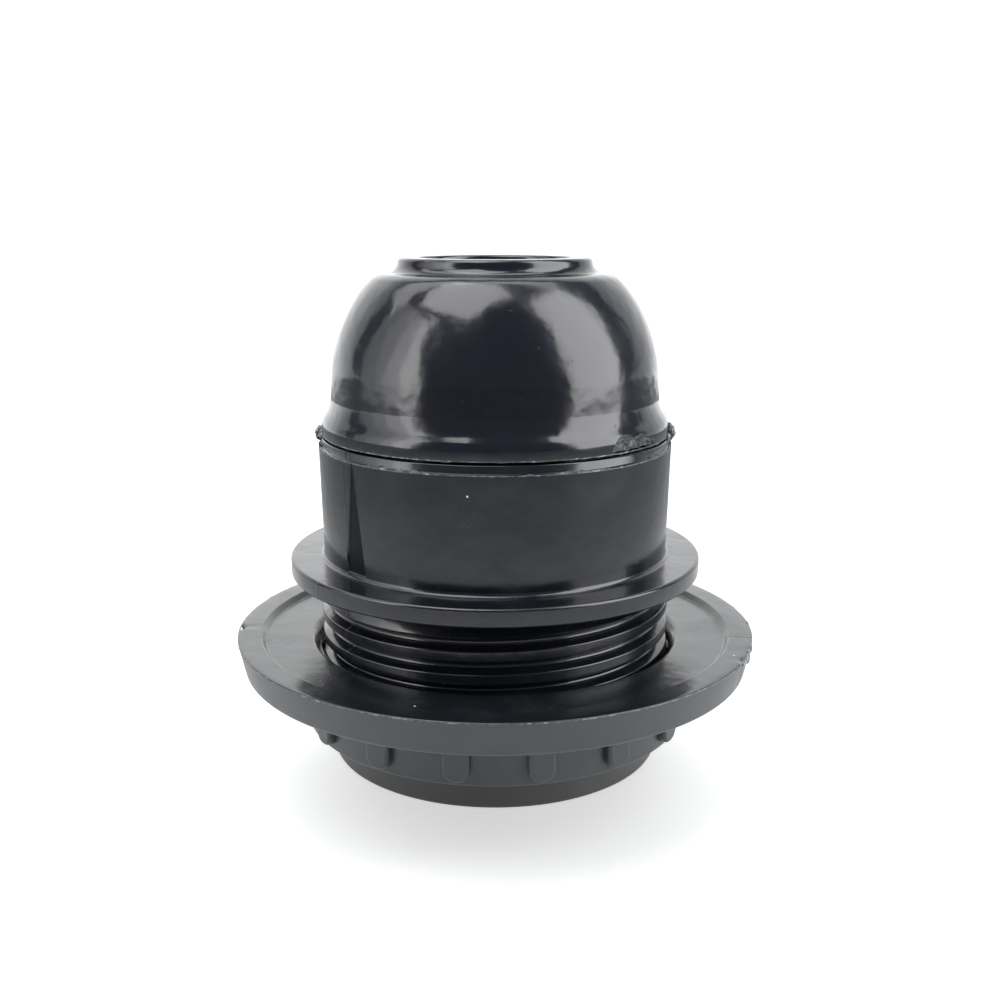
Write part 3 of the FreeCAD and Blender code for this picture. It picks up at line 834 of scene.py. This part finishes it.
neck_thread = thread(joining_section(neck_core_r - 0.15, neck_crest_r), thread_pitch,
                     neck_foot + 0.2, lip_foot - 0.7, neck_core_r)
for face in neck_thread.faces:
    face.smooth = True
add_to(cap, [neck_thread], MOULDED_SLOT)
lip_flash = fin(lip_r, lip_foot, 0.1, 0.1, False, 0.45, 1.3, places=((-20, 10, 0.8), (12, 6, 0.8)))
add_to(cap, [lip_flash,
             lump(-89, lip_r + 0.3, lip_foot - 0.3, (0.6, 1.4, 0.85)),
             lump(-84, lip_r, lip_foot - 0.1, (0.35, 1.1, 0.5)),
             lump(88, lip_r + 0.35, lip_foot - 0.1, (0.55, 1.5, 0.9)),
             lump(80, lip_r, lip_foot - 0.3, (0.3, 1.4, 0.45))], FLASH_SLOT)
print("cap faces with its thread and flash", len(cap.data.polygons))

# %% [markdown]
# ## The shade ring
# The ring clamps a lampshade against the flange. Its upper face has a raised outer band with a
# crisp step, and a countersunk mouth that leads it onto the thread. Its skirt has grip ribs with
# round lower ends. One rib is a bevelled block, and the spin operator with use_duplicate copies
# it round the skirt. On the rim, use has left two dents, and the mould a few flakes of flash.

# %% Ring sizes
ring_bore_r, ring_groove_r = 20.32, 20.9
face_z = ring_top - 0.65
rim_foot = ring_top - 3.85
rim_foot_r = ring_r - 0.85
step_r = ring_r - 2.7
skirt_foot_r, skirt_top_r = 22.0, 22.2
rib_count, rib_phase = 16, -10.2
rib_width, rib_rise, rib_short = 2.9, 0.75, 0.7
SATIN_SLOT = 1
print("rim thickness", round(ring_top - rim_foot, 2), "mm")

# %% Ring
ring_shape = turned([
    (ring_groove_r, ring_foot, 0.15, 3),
    (skirt_foot_r, ring_foot, 0.4, 5),
    (skirt_top_r, rim_foot, 0.8, 8),
    (rim_foot_r, rim_foot, 0.5, 6),
    (ring_r, ring_top, 0.16, 4),
    (ring_r - 0.8, ring_top),
    (step_r, ring_top, 0.13, 3),
    (step_r - 0.5, face_z, 0.13, 3),
    (ring_bore_r + 0.9, face_z, 0.2, 4),
    (ring_bore_r, face_z - 0.9, 0.15, 3),
    (ring_bore_r, face_z - 1.5, 0.1, 2),
    (ring_groove_r, face_z - 2.0, 0.1, 2)])
for face in ring_shape.faces:
    middle = face.calc_center_median()
    from_axis = math.hypot(middle.x, middle.y) / MM
    under_face = middle.z / MM < face_z - 0.1 and from_axis > ring_groove_r + 0.5
    if under_face or from_axis > ring_r - 0.06:
        face.material_index = SATIN_SLOT
join_to(ring_shape, thread(joining_section(ring_groove_r + 0.3, ring_bore_r), thread_pitch,
                           ring_foot + 0.4, face_z - 1.6, ring_groove_r, outward=False))
print("ring section spun into", len(ring_shape.faces), "faces with its thread")


# %% Grip ribs
RIB_SUNK, RIB_IN_RIM = 0.8, 0.4
RIB_END_SHARE, RIB_EDGE = 0.46, 0.42


def round_edges(shape, edges, reach, segments):
    bmesh.ops.bevel(shape, geom=edges, offset=reach * MM, offset_type="OFFSET", segments=segments,
                    profile=0.5, affect="EDGES", material=-1)


def grip_rib():
    """Block that stands out from the skirt at +X, with a round lower end and soft outer edges."""
    low, high = ring_foot + rib_short, rim_foot + RIB_IN_RIM
    inside, outside = skirt_foot_r - RIB_SUNK, skirt_top_r + rib_rise
    rib = bmesh.new()
    bmesh.ops.create_cube(rib, size=1.0)
    bmesh.ops.scale(rib, vec=Vector((outside - inside, rib_width, high - low)) * MM, verts=rib.verts)
    bmesh.ops.translate(rib, vec=Vector(((outside + inside) / 2, 0, (high + low) / 2)) * MM,
                        verts=rib.verts)
    foot = [edge for edge in rib.edges if all(point.co.z < (low + 0.1) * MM for point in edge.verts)
            and abs(edge.verts[0].co.y - edge.verts[1].co.y) < 0.001 * MM]
    round_edges(rib, foot, rib_width * RIB_END_SHARE, 12)
    rim = [edge for edge in rib.edges if all(point.co.x > (outside - 0.01) * MM for point in edge.verts)
           and not all(point.co.z > (high - 0.01) * MM for point in edge.verts)]
    round_edges(rib, rim, RIB_EDGE, 5)
    fill_slot(rib, SATIN_SLOT)
    return rib


rib = grip_rib()
bmesh.ops.rotate(rib, verts=rib.verts, cent=(0, 0, 0),
                 matrix=Matrix.Rotation(math.radians(rib_phase - 90), 3, "Z"))
bmesh.ops.spin(rib, geom=rib.verts[:] + rib.edges[:] + rib.faces[:], cent=(0, 0, 0), axis=(0, 0, 1),
               dvec=(0, 0, 0), angle=FULL_TURN * (rib_count - 1) / rib_count, steps=rib_count - 1,
               use_duplicate=True)
join_to(ring_shape, rib)
print("grip ribs", rib_count)

# %% Dents and flash on the rim
for degrees, size, depth in ((-86, 1.0, 0.5), (64, 0.7, 0.3)):
    dent(ring_shape, degrees, ring_r, ring_top, size, depth)
rim_flash = fin(ring_r - 0.02, ring_top - 0.08, 0.12, 0.1, True, 0.5, 1.1,
                places=((72, 14, 2.0), (88, 6, 1.2)))
for degrees, length, rise in ((61, 0.9, 0.35), (66, 1.3, 0.6), (69.5, 1.0, 0.8), (73, 0.8, 0.4)):
    join_to(rim_flash, lump(degrees, ring_r - 0.12, ring_top - rise * 0.7, (0.2, length, rise)))
fill_slot(rim_flash, FLASH_SLOT)
join_to(ring_shape, rim_flash)
finish_piece("ring_moulding", ring_shape, [ring_black, ring_satin, flash], "ring", ["shade_ring"])

# %% [markdown]
# ## The entry bush
# A die-cast bush sits in the cap's crown, staked over on the floor of the recess. Its bore has
# the fine M10 x 1 thread that every lamp tube uses: 1 mm from crest to crest.

# %% Entry bush
bush_bore_r, bush_r, stake_r, bush_flange_r = 5.0, 6.0, 6.9, outer_radius("entry_bush")
bush_flange_foot = ceiling - 1.3
entry_pitch, entry_crest_r = 1.0, 4.46
bush_shape = turned([
    (bush_bore_r, bush_foot, 0.2, 2),
    (bush_r, bush_foot, 0.3, 3),
    (bush_r, bush_flange_foot, 0.1, 2),
    (bush_flange_r, bush_flange_foot, 0.2, 3),
    (bush_flange_r, ceiling, 0.1, 2),
    (bush_r, ceiling),
    (bush_r, recess_floor),
    (stake_r, recess_floor, 0.1, 2),
    (stake_r, bush_top, 0.3, 4),
    (bush_bore_r, bush_top, 0.3, 3)], steps=128)
join_to(bush_shape, thread([
    (bush_bore_r + 0.1, -0.42),
    (bush_bore_r + 0.1, 0.42),
    (entry_crest_r, 0.06),
    (entry_crest_r, -0.06)], entry_pitch, bush_foot + 0.25, bush_top - 0.25, bush_bore_r,
    outward=False, steps=64))
finish_piece("bush_casting", bush_shape, [zinc], "cap", ["entry_bush"])

# %% [markdown]
# ## The screw shell for the lamp
# The thread that takes the lamp is rolled into thin brass sheet, so both its faces wave
# together. We wind one wave of the wall round and up, weld the turns to each other, and give the
# sheet its thickness afterwards with solidify. A plain neck and a flange are turned above it.

# %% Rolled screw shell
WAVE_POINTS = 16
WELD_GAP = 0.01


def rolled_shell(middle, wave, pitch, low, high, wall):
    """Waved tube between two heights; middle is the radius halfway between crest and root."""
    sheet = bmesh.new()
    points = []
    for index in range(WAVE_POINTS + 1):
        rise = index / WAVE_POINTS
        radius = middle + wave * math.cos(FULL_TURN * rise)
        points.append(sheet.verts.new((radius * MM, 0, (low - pitch + rise * pitch) * MM)))
    for first, second in zip(points, points[1:]):
        sheet.edges.new((first, second))
    wind(sheet, pitch, (high - low) / pitch + 2, THREAD_STEPS)
    bmesh.ops.remove_doubles(sheet, verts=sheet.verts, dist=WELD_GAP * MM)
    trim(sheet, low, high)
    bmesh.ops.recalc_face_normals(sheet, faces=sheet.faces)
    bmesh.ops.solidify(sheet, geom=sheet.faces[:], thickness=wall * MM)
    return sheet


lamp_pitch, wave_reach, rolled_wall = 3.62, 0.5, 0.3
thread_end = screw_shell_foot + 18.0
sleeve_r, neck_r, contact_hole_r = screw_shell_r - 0.1, screw_shell_r - 0.6, 8.6
neck_foot_z, sheet_wall = thread_end + 0.6, 0.4
screw_shape = rolled_shell(screw_shell_r - 0.8, wave_reach, lamp_pitch, screw_shell_foot,
                           thread_end + 0.2, rolled_wall)
join_to(screw_shape, turned([
    (screw_shell_r - 0.5, thread_end - 0.4, 0.1, 2),
    (sleeve_r, thread_end - 0.4, 0.1, 2),
    (sleeve_r, thread_end),
    (neck_r, neck_foot_z, 0.25, 3),
    (neck_r, screw_shell_top, 0.4, 5),
    (contact_hole_r, screw_shell_top, 0.1, 2),
    (contact_hole_r, screw_shell_top - sheet_wall, 0.1, 2),
    (neck_r - sheet_wall, screw_shell_top - sheet_wall, 0.2, 3),
    (neck_r - sheet_wall, neck_foot_z, 0.2, 3),
    (screw_shell_r - 0.5, thread_end)], steps=192))
finish_piece("lamp_screw_shell", screw_shape, [nickel_brass], "insert", ["screw_shell"])

# %% [markdown]
# ## The studio
# A black glossy object is lit by what it mirrors. A white floor that sweeps up into a backdrop
# gives the pale ground. Its paper glows a little of itself, as the wall of a light tent does, so
# it has no horizon. The studio is drawn in metres, because its things are large.

# %% Floor and backdrop
SWEEP_LEFT, SWEEP_WIDTH, SWEEP_BEND = -1.8, 3.6, 0.6
SWEEP_LINE = ((-1.2, 0.0), (0.9, 0.0), (0.9, 1.3))
PAPER_GLOW = 0.6


def tent_paper():
    """White matt paper with a faint fibre, lit from behind."""
    material, tree, shader, place = new_material("studio_paper_white")
    fibre = add(tree, "ShaderNodeTexNoise", {"Vector": place, "Scale": per_mm(3), "Detail": 3.0})
    colour = add(tree, "ShaderNodeValToRGB", {"Fac": fibre.outputs["Fac"]},
                 stops=((0.3, "#F4F5F5"), (0.7, "#F8F8F8")))
    plug(tree, shader, {"Base Color": colour.outputs["Color"], "Roughness": 0.9,
                        "Emission Color": linear("#FFFFFF"), "Emission Strength": PAPER_GLOW})
    return material


def sweep():
    """Floor that curves up into a backdrop behind the holder."""
    paper = bmesh.new()
    points = [paper.verts.new((SWEEP_LEFT, y, z)) for y, z in SWEEP_LINE]
    for first, second in zip(points, points[1:]):
        paper.edges.new((first, second))
    bmesh.ops.bevel(paper, geom=[points[1]], offset=SWEEP_BEND, offset_type="OFFSET", segments=24,
                    profile=0.5, affect="VERTICES", material=-1)
    made = bmesh.ops.extrude_edge_only(paper, edges=paper.edges[:])
    moved = [item for item in made["geom"] if isinstance(item, bmesh.types.BMVert)]
    bmesh.ops.translate(paper, verts=moved, vec=(SWEEP_WIDTH, 0, 0))
    mesh = mesh_of("studio_sweep", paper, [tent_paper()])
    mesh.shade_smooth()
    ground = in_scene("studio_sweep", mesh)


sweep()
print("floor and backdrop")

# %% [markdown]
# ### Soft boxes
# An area light mirrors as a clean bright shape. At the left stand four narrow ones that grow
# weaker towards the back, so that their reflection on the dome ends softly. A wide one stands at
# the right, one hangs above, and one behind the holder lights the backdrop. A light's energy is
# worked out from how bright its face should be, so that its size can change and its look stays.

# %% Soft boxes
SIDE_DISTANCE = 0.33
STRIP_MIDDLE, STRIP_WIDTH, STRIP_HEIGHT = 0.191, 0.072, 0.358
LEFT_STRIPS = ((-58.5, 4.7), (-70.5, 2.7), (-82.5, 1.5), (-94.5, 0.9))


def soft_box(name, place, target, width, height, radiance):
    """Area light of a given brightness, turned to face a point."""
    lamp = bpy.data.lights.new(name, "AREA")
    lamp.shape = "RECTANGLE"
    lamp.size = width
    lamp.size_y = height
    lamp.energy = radiance * math.pi * width * height
    holder = in_scene(name, lamp)
    holder.location = place
    holder.rotation_euler = (Vector(target) - Vector(place)).to_track_quat("-Z", "Y").to_euler()
    holder.visible_camera = False


for number, (degrees, radiance) in enumerate(LEFT_STRIPS):
    way = direction(degrees) * SIDE_DISTANCE
    soft_box("box_left_" + str(number), (way.x, way.y, STRIP_MIDDLE), (0, 0, STRIP_MIDDLE),
             STRIP_WIDTH, STRIP_HEIGHT, radiance)
right_way = direction(72) * SIDE_DISTANCE
soft_box("box_right", (right_way.x, right_way.y, 0.285), (0, 0, 0.197), 0.30, 0.60, 5.2)
soft_box("box_top", (-0.13, -0.10, 0.50), (0, 0, 0.04), 0.34, 0.34, 4.5)
soft_box("box_back", (-0.25, 0.25, 0.75), (-0.2, 0.75, 0.2), 1.2, 0.5, 2.6)
print("soft boxes", len(LEFT_STRIPS) + 3)

# %% [markdown]
# ### A grey card, and the air
# On white paper the holder's walls would mirror white and look grey. In a studio, dark card is
# laid round the object, and it gets darker here with distance. Only mirror reflections see it,
# so the paper itself stays white. The air is bright to the camera, for views that look past the
# backdrop, and dim to all else.

# %% Card on the table
CARD_INNER_R, CARD_OUTER_R, CARD_HEIGHT = 0.05, 1.3, 0.0004
CARD_STOPS = ((0.07, "#CFCFCF"), (0.095, "#B2B2B3"), (0.13, "#88898A"), (0.24, "#76777A"))


def grey_card_paper():
    """Matt card, darker with distance from the axis; the stops' positions are in metres."""
    material, tree, shader, place = new_material("card_matt_grey")
    away = add(tree, "ShaderNodeVectorMath", {0: place}, operation="LENGTH")
    grey = add(tree, "ShaderNodeValToRGB", {"Fac": away.outputs["Value"]}, stops=CARD_STOPS)
    plug(tree, shader, {"Base Color": grey.outputs["Color"], "Roughness": 0.9})
    return material


def dark_card():
    """Flat grey ring on the table that only mirror reflections see."""
    wire = bmesh.new()
    inner = wire.verts.new((CARD_INNER_R, 0, CARD_HEIGHT))
    outer = wire.verts.new((CARD_OUTER_R, 0, CARD_HEIGHT))
    wire.edges.new((inner, outer))
    card = in_scene("studio_card", mesh_of("studio_card", spun(wire, 96), [grey_card_paper()]))
    card.visible_camera = False
    card.visible_diffuse = False
    card.visible_shadow = False


dark_card()
print("card from", CARD_INNER_R, "to", CARD_OUTER_R, "metres")

# %% Air
AIR_COLOUR, AIR_GLOW, AIR_SEEN = (0.85, 0.92, 1.0, 1.0), 0.2, 1.3
world = bpy.data.worlds.new("studio_air")
world.use_nodes = True
air = world.node_tree.nodes["Background"]
seen = add(world.node_tree, "ShaderNodeLightPath", {}).outputs["Is Camera Ray"]
bright = add(world.node_tree, "ShaderNodeMapRange", {"Value": seen, "To Min": AIR_GLOW, "To Max": AIR_SEEN})
plug(world.node_tree, air, {"Color": AIR_COLOUR, "Strength": bright.outputs["Result"]})
bpy.context.scene.world = world
bpy.context.scene.view_settings.view_transform = "Standard"

# %% [markdown]
# ## The camera
# A close camera looks slightly down. So close to a small thing, the flange and the ring open
# into wide ellipses while the cap's top edge is almost level with the lens.

# %% Camera
CAMERA_PLACE, LOOK_DOWN = (0.0, -0.1348, 0.0602), 13.05
lens = bpy.data.cameras.new("camera")
lens.sensor_width = 36.0
lens.lens = 43.1
lens.shift_x = 0.006
lens.clip_start = 0.005
camera = in_scene("camera", lens)
camera.location = CAMERA_PLACE
camera.rotation_euler = (math.radians(90 - LOOK_DOWN), 0, 0)
bpy.context.scene.camera = camera
print("camera looks down by", LOOK_DOWN, "degrees")
